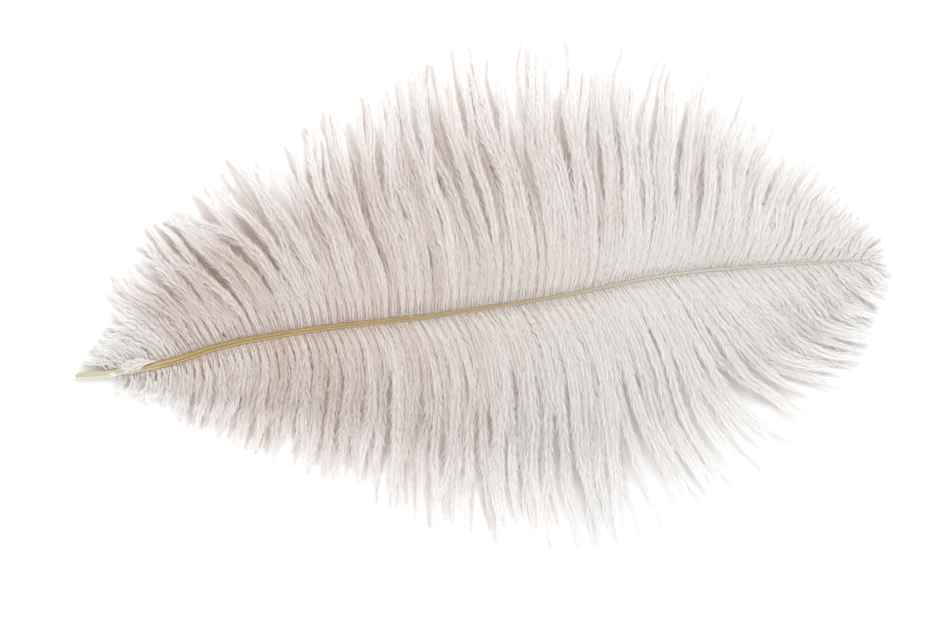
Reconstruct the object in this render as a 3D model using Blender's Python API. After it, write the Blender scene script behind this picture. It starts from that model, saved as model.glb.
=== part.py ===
"""An ostrich feather lying on a flat surface, as five solids in metres.

+X runs along the shaft from the open end of the quill to the feather's tip, +Y
points to the feather's left and +Z up. The origin is on the surface, under the
middle of the feather's box.

The feather grew as one shaft with barbs along both sides. The shaft is one
solid. The barbs of each side are hundreds of hairs that hang together, so each
side's web is one solid that reaches their ends, and so is the down on each
side of the quill.
"""

import math

import bmesh
import bpy
import numpy as np

MM = 0.001

# Driving dimensions, in millimetres and degrees.
FEATHER_LENGTH = 199.0
QUILL_WIDTH = 2.0
TIP_WIDTH = 0.3
QUILL_SHARE = 0.10  # the share of the length over which the quill keeps its width
SHAFT_TALLER = 1.1  # the shaft's height over its width
GROOVE_DEPTH = 0.16  # of the shaft's half width, along the top
GROOVE_HALF_ANGLE = 24.0
JOINT_GAP = 0.3
SURFACE_GAP = 0.05  # between the quill's underside and the surface

WEB_THICKNESS = 3.4
WEB_EDGE = 1.1
WEB_RISE = 3.0  # how far the barbs climb above the shaft before they fall
DOWN_THICKNESS = 2.2

SHAFT_RINGS = 72
SHAFT_SIDES = 14
WEB_STEPS = 66  # along the shaft
DOWN_STEPS = 9
BARB_STEPS = 9  # out from the shaft
PATH_STEPS = 3
WISP_STEPS = 3  # steps along the shaft to one wisp of barbs
WISP_NOTCH = 0.06  # how much shorter the barbs between two wisps are

# The shaft's centre line: share of the length, sideways bow, height above the surface.
SHAFT_LINE = (
    (0.00, 0.0, 1.15),
    (0.06, -0.6, 1.9),
    (0.12, 0.0, 3.3),
    (0.18, 2.0, 5.4),
    (0.28, 2.9, 8.9),
    (0.46, 2.0, 12.4),
    (0.60, 2.2, 12.4),
    (0.75, 3.5, 9.8),
    (0.87, 2.3, 6.2),
    (1.00, 0.0, 2.4),
)

# Barbs at stations along the shaft: share of the length, barb length, and the angle
# from the shaft's direction at the root, on the way and at the end.
LEFT_BARBS = (
    (0.130, 25.0, 94.0, 112.0, 124.0),
    (0.200, 32.0, 92.0, 116.0, 122.0),
    (0.290, 44.0, 86.0, 112.0, 110.0),
    (0.370, 50.0, 80.0, 104.0, 92.0),
    (0.450, 58.0, 76.0, 100.0, 88.0),
    (0.540, 62.0, 72.0, 97.0, 88.0),
    (0.620, 60.0, 68.0, 91.0, 82.0),
    (0.700, 55.0, 64.0, 85.0, 72.0),
    (0.770, 49.0, 60.0, 78.0, 64.0),
    (0.830, 36.0, 57.0, 70.0, 54.0),
    (0.890, 24.0, 52.0, 58.0, 44.0),
    (0.945, 12.0, 46.0, 46.0, 34.0),
    (0.985, 4.5, 38.0, 36.0, 26.0),
)
RIGHT_BARBS = (
    (0.130, 14.0, 74.0, 104.0, 122.0),
    (0.200, 23.0, 70.0, 106.0, 116.0),
    (0.290, 33.0, 66.0, 104.0, 108.0),
    (0.370, 42.0, 64.0, 102.0, 102.0),
    (0.450, 53.0, 62.0, 99.0, 96.0),
    (0.540, 61.0, 62.0, 94.0, 88.0),
    (0.640, 61.0, 62.0, 86.0, 78.0),
    (0.705, 56.0, 62.0, 76.0, 60.0),
    (0.775, 49.0, 62.0, 58.0, 22.0),
    (0.850, 31.0, 61.0, 54.0, 20.0),
    (0.920, 15.0, 58.0, 56.0, 34.0),
    (0.985, 4.5, 42.0, 40.0, 30.0),
)
LEFT_DOWN = (
    (0.055, 6.0, 100.0, 124.0, 140.0),
    (0.085, 11.0, 92.0, 112.0, 130.0),
    (0.120, 15.0, 90.0, 108.0, 124.0),
)
RIGHT_DOWN = (
    (0.060, 3.5, 84.0, 110.0, 130.0),
    (0.090, 6.5, 80.0, 106.0, 124.0),
    (0.120, 9.0, 78.0, 104.0, 120.0),
)
BARB_ANGLE_PLACES = (0.0, 0.4, 1.0)

SHAFT_COLOUR = (0.58, 0.42, 0.16)
BARB_COLOUR = (0.80, 0.77, 0.73)
DOWN_COLOUR = (0.88, 0.86, 0.82)
SHAFT_ROUGHNESS = 0.35
BARB_ROUGHNESS = 0.85


def smooth_value(stations, column, at):
    """The stations' column read at a place, on a smooth curve through its points."""
    table = np.array(stations)
    places, values = table[:, 0], table[:, column]
    slopes = np.gradient(values, places)
    i = int(np.clip(np.searchsorted(places, at) - 1, 0, len(places) - 2))
    span = places[i + 1] - places[i]
    k = min(max((at - places[i]) / span, 0.0), 1.0)
    start = (1 + 2 * k) * (1 - k) ** 2 * values[i] + k * (1 - k) ** 2 * span * slopes[i]
    end = k * k * (3 - 2 * k) * values[i + 1] + k * k * (k - 1) * span * slopes[i + 1]
    return float(start + end)


def ease(k):
    """0 to 1 with a level start and end."""
    k = min(max(k, 0.0), 1.0)
    return k * k * (3 - 2 * k)


def shaft_width(share):
    past_quill = max(0.0, share - QUILL_SHARE) / (1 - QUILL_SHARE)
    return TIP_WIDTH + (QUILL_WIDTH - TIP_WIDTH) * (1 - past_quill) ** 1.3


def shaft_centre(share):
    """The middle of the shaft at a share of the feather's length."""
    bow = smooth_value(SHAFT_LINE, 1, share)
    height = smooth_value(SHAFT_LINE, 2, share) + SURFACE_GAP
    return share * FEATHER_LENGTH, bow, height


def finish(name, bm, colour, roughness, offset):
    """Centres a mesh on the feather's origin and makes it an object with a material."""
    bmesh.ops.recalc_face_normals(bm, faces=bm.faces)
    if bm.calc_volume(signed=True) < 0:
        bmesh.ops.reverse_faces(bm, faces=bm.faces)
    bmesh.ops.translate(bm, verts=bm.verts, vec=offset)
    bmesh.ops.scale(bm, verts=bm.verts, vec=(MM, MM, MM))
    mesh = bpy.data.meshes.new(name)
    bm.to_mesh(mesh)
    bm.free()
    mesh.shade_smooth()
    mesh.set_sharp_from_angle(angle=math.radians(50))
    material = bpy.data.materials.new(name)
    material.use_nodes = True
    shader = material.node_tree.nodes["Principled BSDF"]
    shader.inputs["Base Color"].default_value = (*colour, 1)
    shader.inputs["Roughness"].default_value = roughness
    shader.inputs["Metallic"].default_value = 0.0
    mesh.materials.append(material)
    obj = bpy.data.objects.new(name, mesh)
    bpy.context.scene.collection.objects.link(obj)
    return obj


def shaft_section(width, turn):
    """One point of the shaft's outline: an oval with a groove along its top."""
    from_top = math.degrees(abs(math.remainder(turn - math.pi / 2, 2 * math.pi)))
    dent = GROOVE_DEPTH * math.exp(-((from_top / GROOVE_HALF_ANGLE) ** 2))
    half = width / 2 * (1 - dent)
    return half * math.cos(turn), half * SHAFT_TALLER * math.sin(turn)


def shaft_bmesh():
    """The quill and the shaft in one: rings of the outline, extruded ring by ring."""
    bm = bmesh.new()
    ring = bmesh.ops.create_circle(bm, radius=1, segments=SHAFT_SIDES)["verts"]
    first = list(ring)
    edges = list(bm.edges)
    for step in range(SHAFT_RINGS + 1):
        if step:
            made = bmesh.ops.extrude_edge_only(bm, edges=edges)["geom"]
            ring = [part for part in made if isinstance(part, bmesh.types.BMVert)]
            edges = [edge for edge in made if isinstance(edge, bmesh.types.BMEdge)]
            edges = [edge for edge in edges if all(v in ring for v in edge.verts)]
        share = step / SHAFT_RINGS
        x, y, z = shaft_centre(share)
        width = shaft_width(share)
        if step in (0, SHAFT_RINGS):
            width *= 0.6  # both ends are blunt and rounded over
        for i, vert in enumerate(ring):
            across, up = shaft_section(width, 2 * math.pi * i / SHAFT_SIDES)
            vert.co = (x, y + across, z + up)
    for end in (first, ring):
        bmesh.ops.contextual_create(bm, geom=end)
    return bm


def barb_point(stations, side, share, out, shorten=1.0):
    """Where the barb rooted at a share of the shaft is, at a share of its own length."""
    length = smooth_value(stations, 1, share) * shorten
    angles = [smooth_value(stations, 2 + i, share) for i in range(3)]
    turning = tuple(zip(BARB_ANGLE_PLACES, angles))
    x, y, _ = shaft_centre(share)
    y += side * (shaft_width(share) / 2 + JOINT_GAP)
    # Each outward step is walked in PATH_STEPS short straight pieces.
    pieces = BARB_STEPS * PATH_STEPS
    for i in range(round(out * pieces)):
        angle = math.radians(smooth_value(turning, 1, (i + 0.5) / pieces))
        x += math.cos(angle) * length / pieces
        y += side * math.sin(angle) * length / pieces
    return x, y, length


def web_heights(share, out, length, thickness):
    """The web's underside and top: level with the shaft, a rise, and a fall to the surface."""
    root = smooth_value(SHAFT_LINE, 2, share) + SURFACE_GAP
    half_root = shaft_width(share) / 2
    rise = WEB_RISE * min(1.0, length / 45) * math.sin(math.pi * min(1.0, out / 0.6))
    settled = thickness * min(1.0, 0.55 + length / 70)
    top = settled + (root + half_root - settled) * (1 - ease(out / 0.8)) + rise
    top -= (settled - WEB_EDGE) * ease((out - 0.7) / 0.3)
    deep = 2 * half_root + (settled - 2 * half_root) * ease(out / 0.3)
    return max(0.0, top - deep), top


def web_bmesh(stations, side, steps, thickness):
    """A side's barbs as one solid: a grid sheet, extruded, then laid out barb by barb."""
    bm = bmesh.new()
    bmesh.ops.create_grid(bm, x_segments=steps, y_segments=BARB_STEPS, size=0.5)
    made = bmesh.ops.extrude_face_region(bm, geom=bm.faces[:])["geom"]
    upper = [part for part in made if isinstance(part, bmesh.types.BMVert)]
    bmesh.ops.translate(bm, verts=upper, vec=(0, 0, 1))
    first, last = stations[0][0], stations[-1][0]
    # A vertex's place on the flat grid says which barb it is on, and how far out.
    for vert in bm.verts:
        along, out = vert.co.x + 0.5, vert.co.y + 0.5
        share = first + (last - first) * along
        between = round(along * steps) % WISP_STEPS == 1
        shorten = 1 - WISP_NOTCH * between * ease((out - 0.5) / 0.5)
        x, y, length = barb_point(stations, side, share, out, shorten)
        bottom, top = web_heights(share, out, length, thickness)
        vert.co = (x, y, top if vert.co.z > 0.5 else bottom)
    return bm


def middle_of(meshes):
    """The offset that puts the middle of all the meshes' box over the origin."""
    corners = np.array([vert.co for bm in meshes for vert in bm.verts])
    low, high = corners.min(axis=0), corners.max(axis=0)
    return (-(low[0] + high[0]) / 2, -(low[1] + high[1]) / 2, -low[2])


def build_feather():
    shaft = shaft_bmesh()
    left_web = web_bmesh(LEFT_BARBS, 1, WEB_STEPS, WEB_THICKNESS)
    right_web = web_bmesh(RIGHT_BARBS, -1, WEB_STEPS, WEB_THICKNESS)
    left_down = web_bmesh(LEFT_DOWN, 1, DOWN_STEPS, DOWN_THICKNESS)
    right_down = web_bmesh(RIGHT_DOWN, -1, DOWN_STEPS, DOWN_THICKNESS)
    offset = middle_of((shaft, left_web, right_web, left_down, right_down))
    finish("shaft", shaft, SHAFT_COLOUR, SHAFT_ROUGHNESS, offset)
    finish("left_vane", left_web, BARB_COLOUR, BARB_ROUGHNESS, offset)
    finish("right_vane", right_web, BARB_COLOUR, BARB_ROUGHNESS, offset)
    finish("left_down", left_down, DOWN_COLOUR, BARB_ROUGHNESS, offset)
    finish("right_down", right_down, DOWN_COLOUR, BARB_ROUGHNESS, offset)


for old in list(bpy.data.objects):
    bpy.data.objects.remove(old, do_unlink=True)
build_feather()
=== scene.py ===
# %% [markdown]
# # An ostrich feather, barb by barb
#
# An ostrich plume is one horn shaft with a few hundred hairs, the barbs, along both
# sides, and each barb carries thousands of finer hairs, the barbules. Nothing hooks
# them together, so the barbs hang as loose, soft strands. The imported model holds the
# feather's place and size: its shaft, a plain solid for the barbs of each side, and
# one for the down on each side of the quill. Here the shaft gets its horn, and
# strands take the place of the plain solids. Everything is in metres, with +X from
# the quill to the tip and +Y to the feather's left.

# %% The frame
import math

import bmesh
import bpy
import numpy as np
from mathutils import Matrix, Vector


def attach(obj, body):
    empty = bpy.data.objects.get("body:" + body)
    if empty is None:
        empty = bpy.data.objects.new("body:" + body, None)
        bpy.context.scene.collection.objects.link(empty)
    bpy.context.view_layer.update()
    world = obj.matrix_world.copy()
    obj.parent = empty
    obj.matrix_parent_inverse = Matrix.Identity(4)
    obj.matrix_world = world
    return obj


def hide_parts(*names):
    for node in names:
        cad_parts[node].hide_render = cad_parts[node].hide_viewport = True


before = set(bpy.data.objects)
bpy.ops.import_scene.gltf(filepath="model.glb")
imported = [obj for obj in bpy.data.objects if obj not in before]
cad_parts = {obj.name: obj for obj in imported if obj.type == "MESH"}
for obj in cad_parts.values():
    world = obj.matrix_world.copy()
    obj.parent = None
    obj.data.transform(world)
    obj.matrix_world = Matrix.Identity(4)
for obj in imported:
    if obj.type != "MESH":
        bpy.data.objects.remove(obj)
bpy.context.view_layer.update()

MM = 0.001

# %% [markdown]
# ## The shaft's line
#
# Every barb grows from the shaft, so the shaft's middle line comes first. It could
# be typed in again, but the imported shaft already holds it: its rings of points
# stand at even steps along X, and the middle of a ring's box is the middle there.

# %% The shaft's middle line and width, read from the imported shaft
packed_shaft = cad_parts["shaft"]
shaft_points = np.array([v.co for v in packed_shaft.data.vertices])
ring_places, ring_of_point = np.unique(np.round(shaft_points[:, 0], 5), return_inverse=True)
rings = [shaft_points[ring_of_point == i] for i in range(len(ring_places))]
ring_middles = np.array([(ring.min(0) + ring.max(0)) / 2 for ring in rings])
ring_sizes = np.array([np.ptp(ring, axis=0) for ring in rings])
quill_end, feather_tip = ring_places[0], ring_places[-1]
feather_length = feather_tip - quill_end
ring_shares = (ring_places - quill_end) / feather_length
print(f"shaft: {len(rings)} rings over {feather_length / MM:.1f} mm")


# %% Reading the shaft at any share of its length
def on_shaft(share):
    """The shaft's middle at shares of its length, as rows of x, y and z."""
    return np.stack([np.interp(share, ring_shares, ring_middles[:, i]) for i in range(3)], -1)


def shaft_half_width(share):
    return np.interp(share, ring_shares[1:-1], ring_sizes[1:-1, 1]) / 2


def shaft_half_height(share):
    return np.interp(share, ring_shares[1:-1], ring_sizes[1:-1, 2]) / 2


def ease(k):
    """0 to 1 with a level start and end."""
    k = np.clip(k, 0, 1)
    return k * k * (3 - 2 * k)


# %% [markdown]
# ## Shader maths
#
# A finish is mostly arithmetic on masks, and arithmetic reads best as an expression.
# So a small class wraps a socket, and each operator used on it adds a Math node.

# %% Shader maths as expressions
class Wire:
    """A shader socket that can be added, subtracted, multiplied and divided."""

    def __init__(self, tree, socket):
        self.tree = tree
        self.socket = socket

    def maths(self, operation, first, second):
        return self.node("ShaderNodeMath", {"operation": operation}, {0: first, 1: second})

    def node(self, kind, settings=None, inputs=None, output=0):
        return add_node(self.tree, kind, settings, inputs, output)

    def __add__(self, other):
        return self.maths("ADD", self, other)

    def __radd__(self, other):
        return self.maths("ADD", other, self)

    def __sub__(self, other):
        return self.maths("SUBTRACT", self, other)

    def __rsub__(self, other):
        return self.maths("SUBTRACT", other, self)

    def __mul__(self, other):
        return self.maths("MULTIPLY", self, other)

    def __rmul__(self, other):
        return self.maths("MULTIPLY", other, self)

    def __truediv__(self, other):
        return self.maths("DIVIDE", self, other)

    def __rtruediv__(self, other):
        return self.maths("DIVIDE", other, self)

    def within(self, low, high):
        """0 up to low, 1 from high on and smooth between, or falling if high is the lower."""
        settings = {"interpolation_type": "SMOOTHSTEP"}
        inputs = {"Value": self, "From Min": low, "From Max": high}
        return self.node("ShaderNodeMapRange", settings, inputs)


# %% Adding any other node
def add_node(tree, kind, settings=None, inputs=None, output=0):
    """Adds a node, sets it up, fills its sockets and returns one of its outputs."""
    made = tree.nodes.new(kind)
    for name, value in (settings or {}).items():
        if name == "stops":
            ramp = made.color_ramp
            while len(ramp.elements) < len(value):
                ramp.elements.new(0.5)
            for element, (place, colour) in zip(ramp.elements, value):
                element.position = place
                element.color = (*colour, 1)
        else:
            setattr(made, name, value)
    for name, value in (inputs or {}).items():
        socket = made.inputs[name]
        if isinstance(value, Wire):
            tree.links.new(value.socket, socket)
        else:
            socket.default_value = value
    return Wire(tree, made.outputs[output])


def mix_colours(tree, factor, first, second):
    """The first colour where factor is 0, and the second where it is 1."""
    sockets = {0: factor}
    for number, colour in ((6, first), (7, second)):
        sockets[number] = colour if isinstance(colour, Wire) else (*colour, 1)
    return add_node(tree, "ShaderNodeMix", {"data_type": "RGBA"}, sockets, 2)


def new_finish(name, **constants):
    """A material with one Principled shader, whose constant sockets are set here."""
    material = bpy.data.materials.new(name)
    material.use_nodes = True
    shader = material.node_tree.nodes["Principled BSDF"]
    for socket, value in constants.items():
        shader.inputs[socket.replace("_", " ")].default_value = value
    return material, material.node_tree, shader


# %% [markdown]
# ## The shaft
#
# The shaft is a tube of horn that thins from the quill to a hair at the tip. Its
# barbless end, the quill, is pale and half clear, and further up the horn is ochre,
# with a fine groove along its top. The imported shaft could be shown as it is, but its
# sides are coarse, so a finer one is extruded here, ring by ring, on the same line
# and a tenth slimmer. Its map runs along the shaft and round it, so that painted
# shade can darken the groove and a painted highlight can lighten one side of the quill.

# %% The shaft's outline
HORN_SIDES = 24
HORN_RINGS = 260
HORN_WIDTH = 0.9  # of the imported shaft's width
QUILL_END_WIDTH = 0.36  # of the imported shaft's width, where the quill's end is rounded
QUILL_ROUNDING = 3.6 * MM
GROOVE_DEPTH = 0.2  # of the shaft's half width
GROOVE_HALF_ANGLE = 17.0
GROOVE_TURN = 14.0  # how far the shaft is rolled over, so that the groove isn't on top


def horn_point(share, turn):
    """A point of the shaft's skin, for a share of its length and an angle in degrees."""
    x, y, z = on_shaft(share)
    from_end = min(1.0, share * feather_length / QUILL_ROUNDING)
    rounding = math.sqrt(1 - (1 - from_end) ** 2)
    width = QUILL_END_WIDTH + (HORN_WIDTH - QUILL_END_WIDTH) * rounding
    from_groove = math.remainder(turn - 90 - GROOVE_TURN, 360)
    groove = GROOVE_DEPTH * float(ease((share - 0.05) / 0.06))
    reach = width * (1 - groove * math.exp(-((from_groove / GROOVE_HALF_ANGLE) ** 2)))
    across = shaft_half_width(share) * reach * math.cos(math.radians(turn))
    up = shaft_half_height(share) * reach * math.sin(math.radians(turn))
    return Vector((x, y + across, z + up))


# %% Extruding the shaft, and the hollow in the quill's end
MOUTH_WALL = 0.12 * MM
MOUTH_DEPTH = 1.6 * MM
MOUTH_RISE = 0.06 * MM  # the hollow follows the quill, which rises a little
POINT_LIMIT = 10000  # more than the shaft has points


def next_ring(bm, edges):
    """Extrudes a ring of edges and returns the new ring's vertices and edges."""
    made = bmesh.ops.extrude_edge_only(bm, edges=edges)["geom"]
    verts = [part for part in made if isinstance(part, bmesh.types.BMVert)]
    edges = [part for part in made if isinstance(part, bmesh.types.BMEdge)]
    return verts, [edge for edge in edges if all(v in verts for v in edge.verts)]


def face_order(face):
    """A number that puts faces in the order of their lowest and highest points."""
    numbers = [vert.index for vert in face.verts]
    return min(numbers) * POINT_LIMIT + max(numbers)


def horn_mesh():
    """The shaft as a bmesh: a closed tube with a hollow in the quill's end."""
    bm = bmesh.new()
    first = bmesh.ops.create_circle(bm, radius=1, segments=HORN_SIDES)["verts"]
    ring, edges = first, list(bm.edges)
    for step in range(HORN_RINGS + 1):
        if step:
            ring, edges = next_ring(bm, edges)
        # The rings stand closer together at both ends.
        share = 0.5 - 0.5 * math.cos(math.pi * step / HORN_RINGS)
        for i, vert in enumerate(ring):
            vert.co = horn_point(share, 360 * i / HORN_SIDES)
    bmesh.ops.contextual_create(bm, geom=ring)
    mouth = bmesh.ops.contextual_create(bm, geom=first)["faces"]
    bmesh.ops.inset_region(bm, faces=mouth, thickness=MOUTH_WALL, use_even_offset=True)
    hollow = bmesh.ops.extrude_discrete_faces(bm, faces=mouth)["faces"]
    inner = list({v for face in hollow for v in face.verts})
    bmesh.ops.translate(bm, verts=inner, vec=(MOUTH_DEPTH, 0, MOUTH_RISE))
    bmesh.ops.recalc_face_normals(bm, faces=bm.faces)
    # Extruding lists the new faces in any order, so they are sorted by their points.
    bm.verts.index_update()
    bm.faces.sort(key=face_order)
    return bm


# %% The shaft's map
BAKE_MAP = "OFBake"


def map_horn(bm):
    """A map with U along the shaft and V round it, 0 and 1 at the groove."""
    layer = bm.loops.layers.uv.new(BAKE_MAP)
    for face in bm.faces:
        share = np.clip([(v.co.x - quill_end) / feather_length for v in face.verts], 0, 1)
        turns = []
        for vert, at in zip(face.verts, share):
            x, y, z = on_shaft(at)
            angle = math.degrees(math.atan2(vert.co.z - z, vert.co.y - y))
            turns.append(((angle - 90 - GROOVE_TURN) / 360) % 1)
        if max(turns) - min(turns) > 0.5:
            turns = [turn + 1 if turn < 0.5 else turn for turn in turns]
        for loop, at, turn in zip(face.loops, share, turns):
            loop[layer].uv = (at, min(turn, 1.0))


# %% The horn's finish
QUILL_HORN = (0.56, 0.52, 0.36)
QUILL_HIGHLIGHT = (0.88, 0.84, 0.68)
OCHRE = (0.53, 0.39, 0.135)
DULL_OCHRE = (0.50, 0.355, 0.13)
PALE_HORN = (0.54, 0.45, 0.31)
TIP_HORN = (0.63, 0.58, 0.49)
SIDE_BROWN = (0.29, 0.19, 0.08)
GROOVE_SHADE = (0.17, 0.10, 0.045)
STREAK_HORN = (0.72, 0.62, 0.42)
STREAK_SCALE = 4200.0
STREAK_STRETCH = (0.06, 1.0, 1.0)
STREAK_HEIGHT = 0.04 * MM

horn_finish, tree, shader = new_finish("horn", Roughness=0.5)
horn_place = add_node(tree, "ShaderNodeUVMap", {"uv_map": BAKE_MAP})
share_along = add_node(tree, "ShaderNodeSeparateXYZ", {}, {0: horn_place})
share_round = add_node(tree, "ShaderNodeSeparateXYZ", {}, {0: horn_place}, output=1)
horn_stops = (
    (0.0, QUILL_HORN), (0.055, QUILL_HORN), (0.12, OCHRE), (0.42, DULL_OCHRE),
    (0.60, PALE_HORN), (0.80, TIP_HORN), (1.0, TIP_HORN),
)
lengthwise = add_node(tree, "ShaderNodeValToRGB", {"stops": horn_stops}, {0: share_along})
where = add_node(tree, "ShaderNodeTexCoord", output=3)
stretched = add_node(tree, "ShaderNodeMapping", {}, {"Vector": where, "Scale": STREAK_STRETCH})
streaks = add_node(tree, "ShaderNodeTexNoise", {}, {"Vector": stretched, "Scale": STREAK_SCALE})

# %% The horn's masks, and its colour
# Painted shade: the groove is darkened with brown where shade falls in it, less so towards the
# tip.
groove_shade = share_round.within(0.045, 0.02) + share_round.within(0.955, 0.98)
groove_shade = groove_shade * share_along.within(0.07, 0.13)
brown_side = share_round.within(0.66, 0.84)
brown_side = brown_side * share_along.within(0.07, 0.2) * (1 - share_along.within(0.5, 0.8))
# Painted highlight: one side of the quill is lightened where light catches its gloss.
quill_highlight_side = share_round.within(0.03, 0.08) * (1 - share_round.within(0.16, 0.24))
quill_highlight_side = quill_highlight_side * (1 - share_along.within(0.07, 0.12))
colour = mix_colours(tree, quill_highlight_side * 0.8, lengthwise, QUILL_HIGHLIGHT)
colour = mix_colours(tree, brown_side * 0.6, colour, SIDE_BROWN)
colour = mix_colours(tree, streaks.within(0.45, 0.75) * 0.3, colour, STREAK_HORN)
colour = mix_colours(tree, groove_shade * (0.9 - 0.6 * share_along), colour, GROOVE_SHADE)
tree.links.new(colour.socket, shader.inputs["Base Color"])
ridges = {"Strength": 0.25, "Distance": STREAK_HEIGHT, "Height": streaks}
bump = add_node(tree, "ShaderNodeBump", {}, ridges)
tree.links.new(bump.socket, shader.inputs["Normal"])
print("horn:", len(tree.nodes), "nodes")


# %% The shaft as a piece
def bmesh_piece(name, bm, material):
    """An object of its own from a bmesh, smooth except at sharp corners."""
    mesh = bpy.data.meshes.new(name)
    bm.to_mesh(mesh)
    bm.free()
    mesh.shade_smooth()
    mesh.set_sharp_from_angle(angle=math.radians(60))
    mesh.materials.append(material)
    piece = bpy.data.objects.new(name, mesh)
    bpy.context.scene.collection.objects.link(piece)
    return piece


horn = horn_mesh()
map_horn(horn)
horn_shaft = bmesh_piece("horn_shaft", horn, horn_finish)
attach(horn_shaft, "root")
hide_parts("shaft")
print("horn_shaft:", len(horn_shaft.data.polygons), "faces")

# %% [markdown]
# ## How the barbs run
#
# A barb leaves the shaft slanting towards the tip, swings out to the side, and
# bends again at its end. Near the quill the left barbs even lean back. It could be
# drawn as a curve for every barb, but a few stations along the shaft are enough:
# each gives a barb's length and its angle from the shaft's direction at the root,
# on the way and near the end, and the barbs between two stations are read from a
# smooth curve through them.

# %% Barbs at stations along the shaft
# Share of the length, barb length in mm, and the three angles in degrees.
LEFT_BARBS = (
    (0.132, 25.0, 110.0, 130.0, 138.0),
    (0.200, 33.0, 102.0, 125.0, 130.0),
    (0.290, 44.0, 90.0, 114.0, 114.0),
    (0.370, 50.0, 82.0, 104.0, 93.0),
    (0.450, 58.0, 77.0, 100.0, 89.0),
    (0.540, 62.0, 72.0, 97.0, 88.0),
    (0.620, 60.0, 68.0, 91.0, 82.0),
    (0.700, 55.0, 64.0, 85.0, 72.0),
    (0.770, 49.0, 60.0, 78.0, 64.0),
    (0.830, 36.0, 57.0, 70.0, 54.0),
    (0.890, 25.0, 52.0, 58.0, 44.0),
    (0.945, 15.0, 46.0, 46.0, 34.0),
    (0.985, 8.0, 36.0, 34.0, 24.0),
    (0.999, 4.5, 20.0, 14.0, 10.0),
)
RIGHT_BARBS = (
    (0.130, 14.0, 74.0, 104.0, 116.0),
    (0.200, 23.0, 70.0, 106.0, 114.0),
    (0.290, 33.0, 66.0, 104.0, 108.0),
    (0.370, 42.0, 64.0, 102.0, 102.0),
    (0.450, 53.0, 62.0, 99.0, 96.0),
    (0.540, 61.0, 62.0, 94.0, 88.0),
    (0.640, 61.0, 62.0, 86.0, 78.0),
    (0.705, 56.0, 62.0, 76.0, 60.0),
    (0.775, 49.0, 62.0, 58.0, 22.0),
    (0.850, 35.0, 61.0, 54.0, 20.0),
    (0.920, 22.0, 58.0, 56.0, 30.0),
    (0.980, 10.5, 44.0, 42.0, 28.0),
    (0.999, 4.5, 22.0, 16.0, 12.0),
)
ANGLE_PLACES = np.array([0.0, 0.4, 0.88, 1.0])  # along a barb; the last two share an angle
print("longest barbs:", max(row[1] for row in LEFT_BARBS + RIGHT_BARBS), "mm")


def smooth_read(places, values, at):
    """Values read at places between the given ones, on a smooth curve through them."""
    slopes = np.gradient(values, places, axis=0)
    i = np.clip(np.searchsorted(places, at) - 1, 0, len(places) - 2)
    span = places[i + 1] - places[i]
    k = np.clip((at - places[i]) / span, 0, 1)
    start = (1 + 2 * k) * (1 - k) ** 2 * values[i] + k * (1 - k) ** 2 * span * slopes[i]
    end = k * k * (3 - 2 * k) * values[i + 1] + k * k * (k - 1) * span * slopes[i + 1]
    return start + end


# %% [markdown]
# ## Strands
#
# Loose barbs don't lie like a comb's teeth. One to three neighbours cling to one
# another and run on as one soft strand, with a gap before the next, and every third
# barb slips beneath the others on its own, where it shows in the gaps. Ten or so
# neighbours lean the same way, so partings open between such locks. The barbs could
# be simulated, but the same look comes from random numbers that are shared: one set
# for a lock, one for a strand and a small one for the barb itself.

# %% Which barbs hold together
POINTS_ON_BARB = 22
along_barb = np.linspace(0, 1, POINTS_ON_BARB)


def strand_numbers(layers, sizes, rng):
    """Which strand each barb belongs to: a few neighbours on top, and one beneath."""
    numbers = np.zeros(len(layers), int)
    strand = 0
    for layer in (0, 1):
        waiting = list(np.flatnonzero(layers == layer))
        while waiting:
            size = 1 if layer else min(len(waiting), rng.choice(sizes))
            members = [waiting.pop(0) for _ in range(size)]
            numbers[members] = strand
            strand += 1
    return numbers


def lock_numbers(count, rng):
    """Which lock each barb belongs to: seven to thirteen neighbours."""
    ends = np.cumsum(rng.integers(7, 14, count))
    return np.searchsorted(ends, np.arange(count), side="right")


# %% The angles of every barb
# How far chance turns a lock, a strand and a barb, in degrees at the four places.
LOCK_SWAY = (0.3, 1.2, 2.2, 3.0)
STRAND_SWAY = (0.6, 1.6, 3.4, 8.0)
BARB_SWAY = (0.6, 1.2, 2.4, 4.0)


def barb_angles(table, shares, strands, style, rng):
    """Angles in degrees at the four places of each barb."""
    count = len(shares)
    angles = np.stack([smooth_read(table[:, 0], table[:, i], shares) for i in (2, 3, 4, 4)], -1)
    locks = lock_numbers(count, rng)
    calm = 1 - 0.55 * ease((shares - 0.5) / 0.35)  # the barbs lie straighter near the tip
    for who, spread in (
        (locks, LOCK_SWAY),
        (strands, STRAND_SWAY),
        (np.arange(count), BARB_SWAY),
    ):
        sway = rng.normal(0, 1, (who.max() + 1, 4)) * spread
        angles += sway[who] * style.get("sway", 1.0) * calm[:, None]
    # At a parting the barbs on both sides lean away from each other.
    for share, opening, reach in style.get("partings", ()):
        apart = np.sign(share - shares) * np.exp(-np.abs(shares - share) / reach)
        angles[:, 2:] += opening * apart[:, None]
    return angles


def barb_line(roots, angles, lengths, side):
    """The barbs' paths seen from above, and their headings, from the angles."""
    heading = np.radians([smooth_read(ANGLE_PLACES, a, along_barb) for a in angles])
    steps = lengths[:, None] / (POINTS_ON_BARB - 1)
    turned = (heading[:, 1:] + heading[:, :-1]) / 2
    x = np.repeat(roots[:, :1], POINTS_ON_BARB, 1)
    y = np.repeat(roots[:, 1:2], POINTS_ON_BARB, 1)
    x[:, 1:] += np.cumsum(np.cos(turned) * steps, 1)
    y[:, 1:] += side * np.cumsum(np.sin(turned) * steps, 1)
    return x, y, heading


# %% Drawing the barbs of a strand together, and letting them waver
# How far a path wavers to each side, and over what length.
STRAND_WAVER = (0.38 * MM, 26 * MM)
BARB_WAVER = (0.13 * MM, 9 * MM)


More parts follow.
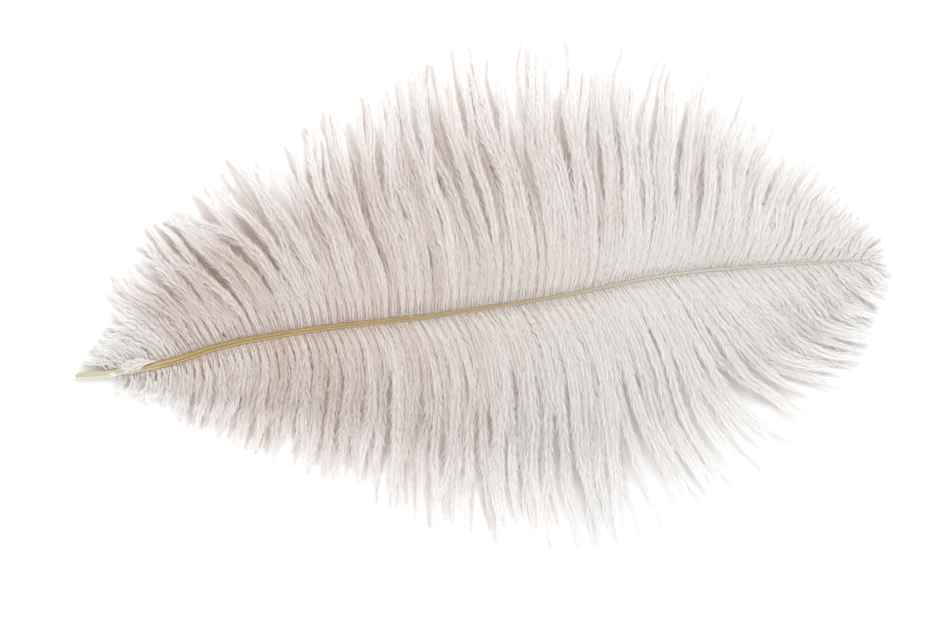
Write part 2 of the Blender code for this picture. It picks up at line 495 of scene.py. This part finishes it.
def draw_together(paths, strands, pull, begins):
    """Moves each barb towards the average path of its strand, a bit less at its end."""
    begins = begins[strands][:, None]
    pull = pull[strands][:, None]
    pull = pull * (ease((along_barb - begins) / 0.34) - 0.3 * ease((along_barb - 0.72) / 0.28))
    for path in paths:
        middle = np.stack([path[strands == s].mean(0) for s in range(strands.max() + 1)])
        path += (middle[strands] - path) * pull


def waver(x, y, heading, lengths, side, strands, rng):
    """A slow waver across the path, shared by a strand, and a faster one of each barb."""
    arc = along_barb * lengths[:, None]
    for who, (reach, wave) in (
        (strands, STRAND_WAVER),
        (np.arange(len(strands)), BARB_WAVER),
    ):
        phase = rng.uniform(0, 2 * np.pi, who.max() + 1)[who][:, None]
        length = (wave * rng.uniform(0.7, 1.4, who.max() + 1))[who][:, None]
        shift = reach * np.sin(2 * np.pi * arc / length + phase) * ease(along_barb / 0.5)
        x += -np.sin(heading) * shift
        y += side * np.cos(heading) * shift


# %% [markdown]
# ## How high the barbs lie
#
# The shaft arches up from the surface, and the barbs start at its height, rise a
# little over it and sink to the surface at their ends. The upper barbs follow that
# top, and the lower ones lie about two millimetres beneath it.

# %% The top of the barbs, and each barb's place under it
WEB_THICKNESS = 3.4 * MM
WEB_EDGE = 1.1 * MM  # how thin the barbs lie at their ends
WEB_RISE = 3.0 * MM  # how far they rise over the line from the shaft to their ends
LOWEST_BARB = 0.3 * MM
FULL_RISE_LENGTH = 45  # mm; shorter barbs rise less


def web_top(roots, half_roots, lengths):
    """How high the barbs' top is along each barb."""
    lengths = lengths[:, None] / MM
    rise = WEB_RISE * np.minimum(1, lengths / FULL_RISE_LENGTH)
    rise = rise * np.sin(np.pi * np.minimum(1, along_barb / 0.6))
    settled = WEB_THICKNESS * np.minimum(1, 0.55 + lengths / 70)
    top = settled + (roots + half_roots - settled) * (1 - ease(along_barb / 0.8)) + rise
    return top - (settled - WEB_EDGE) * ease((along_barb - 0.7) / 0.3)


def barb_heights(roots, half_roots, lengths, layers, strands, lifts, rng):
    """Each barb's height along its path, the lower ones beneath the upper ones."""
    groups = strands.max() + 1
    top = web_top(roots, half_roots, lengths)
    depth = rng.uniform(0.0, 0.3, groups)[strands] + 0.45 * layers
    depth = WEB_THICKNESS * (depth + rng.normal(0, 0.07, len(strands)))[:, None]
    lift = np.maximum(0, rng.normal(0, 1.2, groups))[strands][:, None] * MM
    z = top - half_roots * (1 - ease(along_barb / 0.1)) - depth * ease(along_barb / 0.3)
    z += lift * ease((along_barb - 0.6) / 0.4) ** 2
    z += lifts[:, None] * MM * np.sin(np.pi * np.minimum(1, along_barb / 0.9)) ** 2
    return np.maximum(z, LOWEST_BARB)


# %% Growing one side's barbs
ROOT_JITTER = 0.0003  # of the shaft's length
STRAND_UNEVENNESS = 0.035  # of a barb's length, as are the next three
BARB_UNEVENNESS = 0.055
LONGEST_EXTRA = 0.07
SHORTER_BENEATH = 0.03


def grow_barbs(stations, side, count, seed, **style):
    """One side's barbs: their paths, lengths, and how deep among the others each lies."""
    rng = np.random.default_rng(seed)
    table = np.array(stations)
    shares = np.linspace(table[0, 0], table[-1, 0], count) + rng.normal(0, ROOT_JITTER, count)
    layers = (np.arange(count) % 3 == 2).astype(int) * style.get("beneath", 1)
    strands = strand_numbers(layers, style.get("sizes", (1, 1, 2, 2, 3)), rng)
    groups = strands.max() + 1
    lengths = smooth_read(table[:, 0], table[:, 1], shares) * MM
    uneven = rng.normal(0, STRAND_UNEVENNESS, groups)[strands]
    uneven = uneven + rng.normal(0, BARB_UNEVENNESS, count)
    lengths *= 1 + np.minimum(uneven, LONGEST_EXTRA) - SHORTER_BENEATH * layers
    angles = barb_angles(table, shares, strands, style, rng)
    lifts = np.full(count, style.get("lift", 0.0))
    for share, turn, lift in style.get("strays", ()):
        stray = strands == strands[np.argmin(np.abs(shares - share) + layers)]
        angles[stray] += np.array((0, 0.3, 1, 1)) * turn
        lifts[stray] = lift

    roots = on_shaft(shares)
    half_widths, half_heights = shaft_half_width(shares), shaft_half_height(shares)
    starts = roots + np.stack([0 * shares, side * half_widths * 0.75, 0 * shares], -1)
    x, y, heading = barb_line(starts, angles, lengths, side)
    pull, begins = rng.uniform(0.45, 0.9, groups), rng.uniform(0.05, 0.2, groups)
    draw_together((x, y), strands, pull, begins)
    waver(x, y, heading, lengths, side, strands, rng)
    heights = (roots[:, 2:], half_heights[:, None], lengths, layers, strands, lifts, rng)
    z = barb_heights(*heights)
    shades = np.clip(0.12 + 0.7 * layers + rng.normal(0, 0.12, groups)[strands], 0, 1)
    print(f"{count} barbs in {groups} strands, {lengths.sum():.1f} m in all")
    return {"paths": np.stack([x, y, z], -1), "lengths": lengths, "shades": shades}


# %% Both sides
# A parting is a share of the shaft, degrees and a reach. A stray is a share, degrees
# and a lift in mm: one strand that has come loose and lies across the others.
LEFT_PARTINGS = ((0.148, 8.0, 0.012), (0.343, 9.0, 0.02))
LEFT_STRAYS = ((0.225, 24.0, 1.4), (0.262, 30.0, 1.8), (0.285, 20.0, 1.0), (0.325, 16.0, 1.2))
RIGHT_STRAYS = ((0.56, -12.0, 1.2), (0.63, 9.0, 1.0))

left_barbs = grow_barbs(
    LEFT_BARBS, 1, 250, seed=11, partings=LEFT_PARTINGS, strays=LEFT_STRAYS
)
right_barbs = grow_barbs(RIGHT_BARBS, -1, 256, seed=12, strays=RIGHT_STRAYS, sway=0.75)

# %% [markdown]
# ## From paths to meshes
#
# A barb is a thin horn hair, and from both its sides grow much finer hairs, the
# barbules, which make it soft. Half a million separate objects would choke any
# scene, and curves with a bevel are lost on export. So all the strands of a
# stretch are one joined mesh, made from arrays: a three-sided tapering tube for
# each barb, and two triangles for each barbule, folded where they meet so that it
# bends towards the barb's end.

# %% Joined meshes from arrays
def joined_mesh(name, parts, materials):
    """One mesh object from parts: each has points, triangles, map places and shades."""
    firsts = np.cumsum([0] + [len(part["points"]) for part in parts])
    points = np.concatenate([part["points"] for part in parts])
    places = np.concatenate([part["places"] for part in parts])
    shades = np.concatenate([part["shades"] for part in parts])
    triangles = np.concatenate([p["triangles"] + first for p, first in zip(parts, firsts)])
    slots = np.concatenate([np.full(len(p["triangles"]), i) for i, p in enumerate(parts)])
    mesh = bpy.data.meshes.new(name)
    mesh.vertices.add(len(points))
    mesh.vertices.foreach_set("co", points.astype(np.float32).ravel())
    mesh.loops.add(triangles.size)
    mesh.loops.foreach_set("vertex_index", triangles.astype(np.int32).ravel())
    mesh.polygons.add(len(triangles))
    mesh.polygons.foreach_set("loop_start", np.arange(0, triangles.size, 3, dtype=np.int32))
    mesh.polygons.foreach_set("material_index", slots.astype(np.int32))
    mesh.update(calc_edges=True)
    layer = mesh.uv_layers.new(name=BAKE_MAP)
    layer.data.foreach_set("uv", places[triangles.ravel()].astype(np.float32).ravel())
    shade = mesh.attributes.new("shade", "FLOAT", "POINT")
    shade.data.foreach_set("value", shades.astype(np.float32))
    mesh.shade_smooth()
    for material in materials:
        mesh.materials.append(material)
    obj = bpy.data.objects.new(name, mesh)
    bpy.context.scene.collection.objects.link(obj)
    return obj


# %% Directions along a path
def normalized(vectors):
    return vectors / np.maximum(np.linalg.norm(vectors, axis=-1, keepdims=True), 1e-12)


def frames_on(paths):
    """The direction of each path at each point, the way across it, and the way up."""
    direction = normalized(np.gradient(paths, axis=1))
    across = normalized(np.cross(direction, (0, 0, 1.0)))
    return direction, across, np.cross(across, direction)


# %% Barbs as tapering tubes
BARB_ROOT_RADIUS = 0.16 * MM
BARB_END_RADIUS = 0.025 * MM
TUBE_SIDES = 3


def tubes(barbs):
    """The barbs as three-sided tubes, closed at both ends."""
    paths = barbs["paths"]
    count, length, _ = paths.shape
    _, across, up = frames_on(paths)
    taper = (1 - along_barb) ** 1.1
    radius = (BARB_END_RADIUS + (BARB_ROOT_RADIUS - BARB_END_RADIUS) * taper)[None, :, None]
    turns = np.pi / 2 + 2 * np.pi * np.arange(TUBE_SIDES) / TUBE_SIDES
    corners = [paths + radius * (np.cos(t) * across + np.sin(t) * up) for t in turns]
    points = np.stack(corners, 2).reshape(-1, 3)
    row = np.arange(count)[:, None, None] * length + np.arange(length - 1)[None, :, None]
    here = row * TUBE_SIDES + np.arange(TUBE_SIDES)
    beside = row * TUBE_SIDES + np.roll(np.arange(TUBE_SIDES), -1)
    quads = np.stack([here, beside, beside + TUBE_SIDES, here + TUBE_SIDES], -1).reshape(-1, 4)
    root = np.arange(count)[:, None] * length * TUBE_SIDES + (2, 1, 0)
    end = (np.arange(count) * length + length - 1)[:, None] * TUBE_SIDES + (0, 1, 2)
    triangles = np.concatenate([quads[:, (0, 1, 2)], quads[:, (0, 2, 3)], root, end])
    places = np.zeros((count, length, TUBE_SIDES, 2))
    places[..., 0] = along_barb[None, :, None]
    places[..., 1] = (np.arange(count)[:, None, None] + np.linspace(0.1, 0.9, 3)) / count
    shades = np.repeat(barbs["shades"], length * TUBE_SIDES)
    return {
        "points": points, "triangles": triangles,
        "places": places.reshape(-1, 2), "shades": shades,
    }


# %% Where the barbules grow, and how long they are
BARBULE_SPACING = 0.0985 * MM  # on each side of a barb
FEWEST_BARBULES = 8  # on each side of the shortest barb
BARBULE_LENGTH = 2.65 * MM
BARE_ROOT = 7.0 * MM  # over which the barbules grow to their full length
LONGEST_ON_SHORT = 0.3  # of the barb's own length
FLYAWAYS = 0.08  # the share of barbules that stand out further
FLYAWAY_STRETCH = 1.7


def barbule_places(lengths, rng):
    """The barb of each barbule, its place along it from 0 to 1, and its side."""
    on_each = np.maximum(FEWEST_BARBULES, (lengths / BARBULE_SPACING).astype(int)) * 2
    barb = np.repeat(np.arange(len(lengths)), on_each)
    first = np.cumsum(on_each) - on_each
    number = np.arange(len(barb)) - first[barb]
    at = (number + rng.uniform(0, 1, len(barb))) / on_each[barb]
    return barb, at, np.where(number % 2, 1.0, -1.0)[:, None]


def barbule_lengths(at, barb_lengths, rng):
    """Short at the root, full from a few millimetres on, and shorter again to the end."""
    longest = LONGEST_ON_SHORT * barb_lengths
    bare = np.minimum(BARE_ROOT, longest)
    length = BARBULE_LENGTH * rng.uniform(0.75, 1.15, len(at))
    near_root = 0.48 * ease((at * barb_lengths - 0.5 * MM) / bare)
    grown = 0.22 + near_root + 0.3 * ease((at - 0.15) / 0.3)
    length *= grown * (1 - 0.52 * ease((at - 0.6) / 0.4))
    length *= np.where(rng.uniform(0, 1, len(at)) < FLYAWAYS, FLYAWAY_STRETCH, 1.0)
    return np.minimum(length, longest)


# %% How a barbule stands off its barb
# Angles in degrees, the second of a pair being how far chance changes the first.
LEAN = (34, 7)  # away from the barb's own direction
LEAN_LESS_AT_END = 10
HANG_AT_ROOT = -22
SPREAD = 32  # by chance, up or down from the barb's own level
ROLL = 0.6  # radians, round the barbule itself
BARBULE_WIDTH = 0.095 * MM
LOWEST_FIBRE = 0.03 * MM


def barbule_corners(paths, lengths, barb, at, side, rng):
    """The root, the middle's two sides and the end of each barbule, and its length."""
    spot = at * (POINTS_ON_BARB - 1)
    low = np.minimum(spot.astype(int), POINTS_ON_BARB - 2)
    part = (spot - low)[:, None]

    def read(values):
        return values[barb, low] * (1 - part) + values[barb, low + 1] * part

    root = read(paths)
    along, aside, above = (normalized(read(values)) for values in frames_on(paths))
    length = barbule_lengths(at, lengths[barb], rng)[:, None]
    # Near the shaft the barbules hang below their barb, so the barb shows as a fine line.
    hang = HANG_AT_ROOT * (1 - ease(at * lengths[barb] / BARE_ROOT))
    spread = np.radians(hang + rng.normal(0, SPREAD, len(barb)))[:, None]
    outward = side * np.cos(spread) * aside + np.sin(spread) * above
    lean = rng.normal(*LEAN, len(barb)) - LEAN_LESS_AT_END * ease((at - 0.6) / 0.4)
    lean = np.radians(lean)[:, None]
    bend = lean * rng.uniform(0.2, 0.7, len(barb))[:, None]
    middle = root + 0.5 * length * (np.cos(lean) * along + np.sin(lean) * outward)
    end = middle + 0.5 * length * (np.cos(bend) * along + np.sin(bend) * outward)
    sideways = normalized(np.cross(end - root, above))
    over = normalized(np.cross(sideways, end - root))
    roll = rng.normal(0, ROLL, len(barb))[:, None]
    half = BARBULE_WIDTH / 2 * (np.cos(roll) * sideways + np.sin(roll) * over)
    points = np.stack([root, middle + half, middle - half, end], 1)
    points[..., 2] = np.maximum(points[..., 2], LOWEST_FIBRE)
    return points, length


# %% Barbules as bent slivers
def slivers(barbs, seed):
    """The barbules, four points and two triangles to each."""
    rng = np.random.default_rng(seed)
    lengths = barbs["lengths"]
    barb, at, side = barbule_places(lengths, rng)
    points, length = barbule_corners(barbs["paths"], lengths, barb, at, side, rng)
    base = np.arange(len(barb))[:, None] * 4
    triangles = np.concatenate([base + (0, 1, 2), base + (2, 1, 3)], 1).reshape(-1, 3)
    # On the map a barbule runs along its barb's strip, from its root's place onwards.
    places = np.zeros((len(barb), 4, 2))
    reach = (length / lengths[barb][:, None]) * (0, 0.45, 0.45, 0.9)
    places[..., 0] = np.clip(at[:, None] + reach, 0, 1)
    places[..., 1] = (barb[:, None] + np.array([0.5, 0.9, 0.1, 0.5])) / len(lengths)
    return {
        "points": points.reshape(-1, 3), "triangles": triangles,
        "places": places.reshape(-1, 2), "shades": np.repeat(barbs["shades"][barb], 4),
    }


# %% [markdown]
# ## The barbs' finish
#
# The strands are white, but a warm, slightly pink white in the half near the quill
# and a neutral one towards the tip. Their ends are painted brightest, a painted light
# for the light that shines through them. Barbs that lie beneath are painted darker
# and warmer, a painted shade, because less of the light that reaches them comes
# straight in. The mesh carries that depth as an attribute, and the map's U says how
# far out on a barb a point is.

# %% The strands' finish
QUILL_WHITE = (0.865, 0.80, 0.77)
TIP_WHITE = (0.90, 0.888, 0.877)
END_PAINTED_LIGHT = (0.985, 0.98, 0.975)
DOWN_WHITE = (0.94, 0.92, 0.90)
QUILL_SHADE = (0.63, 0.46, 0.37)
TIP_SHADE = (0.85, 0.83, 0.81)
DOWN_SHADE = (0.72, 0.68, 0.63)
BARB_CREAM = (0.62, 0.50, 0.36)
CLOUD_SCALE = 45.0
FLECK_RED = (0.17, 0.025, 0.03)
FLECK_PLACE = on_shaft(0.194) + (0, 2.3 * MM, 0)
FLECK_REACH = 0.42 * MM


def fleck_mask(along, across):
    """1 on the dark red fleck, which sits on the left barbs close to the shaft."""
    aslant = (along - FLECK_PLACE[0] + 0.4 * (across - FLECK_PLACE[1])) / FLECK_REACH
    beside = (across - FLECK_PLACE[1]) / (2.2 * FLECK_REACH)
    return 1 - (aslant * aslant + beside * beside).within(0.5, 1.0)


def strand_finish(name, near_quill, near_quill_beneath, cream, roughness):
    """Soft white, warm near the quill, painted light at the barbs' ends, painted shade on barbs
    beneath, and a share of cream.
    """
    material, tree, shader = new_finish(name, Roughness=roughness, Specular_IOR_Level=0.18)
    place = add_node(tree, "ShaderNodeUVMap", {"uv_map": BAKE_MAP})
    out = add_node(tree, "ShaderNodeSeparateXYZ", {}, {0: place})
    where = add_node(tree, "ShaderNodeTexCoord", output=3)
    clouds = add_node(tree, "ShaderNodeTexNoise", {}, {"Vector": where, "Scale": CLOUD_SCALE})
    along = add_node(tree, "ShaderNodeSeparateXYZ", {}, {0: where})
    across = add_node(tree, "ShaderNodeSeparateXYZ", {}, {0: where}, output=1)
    deep = add_node(tree, "ShaderNodeAttribute", {"attribute_name": "shade"}, output=2)
    # The warmth reaches further towards the tip on the left side than on the right.
    to_tip = (along - 0.4 * across).within(-0.06, 0.07) * 0.75 + clouds.within(0.3, 0.7) * 0.25
    top = mix_colours(tree, to_tip, near_quill, TIP_WHITE)
    # Painted shade: the barbs beneath are mixed towards the darker, warmer shade colours.
    beneath = mix_colours(tree, to_tip, near_quill_beneath, TIP_SHADE)
    colour = mix_colours(tree, deep, top, beneath)
    # Painted light: the barbs' ends are mixed towards white for light shining through them, less
    # so on the barbs beneath.
    colour = mix_colours(tree, out.within(0.45, 0.98) * (0.9 - 0.4 * deep), colour, END_PAINTED_LIGHT)
    colour = mix_colours(tree, cream, colour, BARB_CREAM)
    colour = mix_colours(tree, fleck_mask(along, across) * 0.9, colour, FLECK_RED)
    tree.links.new(colour.socket, shader.inputs["Base Color"])
    print(f"{name}: {len(tree.nodes)} nodes")
    return material


barbule_finish = strand_finish("barbule_white", QUILL_WHITE, QUILL_SHADE, 0.0, 0.75)
barb_finish = strand_finish("barb_cream", QUILL_WHITE, QUILL_SHADE, 0.18, 0.55)
down_finish = strand_finish("down_white", DOWN_WHITE, DOWN_SHADE, 0.0, 0.75)

# %% The pieces of each side
STRETCHES = ("quill", "middle", "tip")


def strand_piece(name, barbs, node, seed, finishes=(barb_finish, barbule_finish)):
    """Barbs and their barbules as one piece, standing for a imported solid."""
    piece = joined_mesh(name, (tubes(barbs), slivers(barbs, seed)), finishes)
    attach(piece, "root")
    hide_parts(node)
    print(f"{name}: {len(piece.data.polygons)} triangles")


def side_pieces(side_name, barbs, node, seed):
    """A side's barbs cut into pieces with about as much strand in each."""
    grown = np.cumsum(barbs["lengths"]) / barbs["lengths"].sum()
    cuts = [int(np.searchsorted(grown, i / len(STRETCHES))) for i in range(len(STRETCHES))]
    cuts.append(len(grown))
    for i, stretch in enumerate(STRETCHES):
        part = {key: values[cuts[i]:cuts[i + 1]] for key, values in barbs.items()}
        strand_piece(f"{side_name}_barbs_{stretch}", part, node, seed + i)


side_pieces("left", left_barbs, "left_vane", 21)
side_pieces("right", right_barbs, "right_vane", 31)

# %% [markdown]
# ## The down
#
# Beside the quill the barbs are short, pure white and tangled, and a few of them
# have blown across the shaft. A down ball could be scattered as loose fluff, but it
# is made of the same barbs, only shorter, so the same function grows it from its
# own stations.

# %% The down beside the quill
LEFT_DOWN = (
    (0.040, 6.0, 120.0, 152.0, 168.0),
    (0.085, 12.0, 112.0, 142.0, 158.0),
    (0.128, 19.0, 106.0, 132.0, 146.0),
)
RIGHT_DOWN = (
    (0.055, 4.0, 84.0, 116.0, 132.0),
    (0.090, 7.0, 80.0, 108.0, 124.0),
    (0.126, 11.0, 76.0, 104.0, 118.0),
)
# A few barbs of the left tuft lie across the shaft, just before its ochre begins.
CROSSING_DOWN = (
    (0.082, 7.0, 158.0, 190.0, 204.0),
    (0.106, 11.0, 150.0, 188.0, 202.0),
)
left_tuft = grow_barbs(LEFT_DOWN, 1, 44, seed=13, sizes=(1, 1, 2), sway=1.2)
crossing = grow_barbs(CROSSING_DOWN, 1, 14, seed=15, sizes=(1,), sway=2.0, beneath=0, lift=1.6)
left_tuft = {key: np.concatenate((left_tuft[key], crossing[key])) for key in left_tuft}
right_tuft = grow_barbs(RIGHT_DOWN, -1, 32, seed=14, sizes=(1, 1, 2), sway=1.1)
down_finishes = (barb_finish, down_finish)
strand_piece("left_down_tuft", left_tuft, "left_down", 41, down_finishes)
strand_piece("right_down_tuft", right_tuft, "right_down", 42, down_finishes)

# %% [markdown]
# ## Floor, light and camera
#
# The feather lies on a plain white floor, under an even white sky and one soft lamp
# beyond its tip, which stands low enough for every strand to shade the next. A
# wider, weaker one on the quill's side keeps the far slopes bright.

# %% The floor
FLOOR_REACH = 3.0
FLOOR_HEIGHT = -0.2 * MM  # just beneath the feather, so that the two never touch
PAPER_WHITE = (0.96, 0.96, 0.96, 1)

floor_bmesh = bmesh.new()
bmesh.ops.create_grid(floor_bmesh, x_segments=1, y_segments=1, size=FLOOR_REACH)
bmesh.ops.translate(floor_bmesh, verts=floor_bmesh.verts, vec=(0, 0, FLOOR_HEIGHT))
floor_finish, tree, shader = new_finish("floor_paper", Roughness=0.9, Specular_IOR_Level=0.1)
shader.inputs["Base Color"].default_value = PAPER_WHITE
floor = bmesh_piece("floor", floor_bmesh, floor_finish)

# %% The light
SKY_STRENGTH = 0.79
LAMPS = (  # name, place, size and power
    ("lamp", (0.28, 0.36, 0.54), 0.42, 2.4),
    ("fill_lamp", (-0.22, -0.40, 0.44), 0.60, 0.9),
)

world = bpy.data.worlds.new("studio")
world.use_nodes = True
world.node_tree.nodes["Background"].inputs["Color"].default_value = (1.0, 1.0, 1.0, 1)
world.node_tree.nodes["Background"].inputs["Strength"].default_value = SKY_STRENGTH
bpy.context.scene.world = world

for lamp_name, place, size, power in LAMPS:
    light = bpy.data.lights.new(lamp_name, "AREA")
    light.size = size
    light.energy = power
    lamp = bpy.data.objects.new(lamp_name, light)
    lamp.location = place
    lamp.rotation_euler = (-Vector(place)).to_track_quat("-Z", "Y").to_euler()
    bpy.context.scene.collection.objects.link(lamp)
    print(f"{lamp_name}: {power} W")

# %% The camera, straight above, with the shaft rising a little to the right
VIEW_WIDTH = 0.235  # metres of floor across the frame
LENS = 100.0  # mm, as is the sensor's width
SENSOR = 36.0
SHAFT_SLOPE = 8.3  # degrees

scene = bpy.context.scene
scene.view_settings.view_transform = "Standard"
scene.cycles.diffuse_bounces = 8
camera = bpy.data.objects.new("camera", bpy.data.cameras.new("camera"))
camera.data.lens = LENS
camera.data.sensor_width = SENSOR
camera.location = (0, 0, VIEW_WIDTH * LENS / SENSOR)
camera.rotation_euler = (0, 0, math.radians(-SHAFT_SLOPE))
scene.collection.objects.link(camera)
scene.camera = camera
print(f"camera: {camera.location.z:.3f} m up")
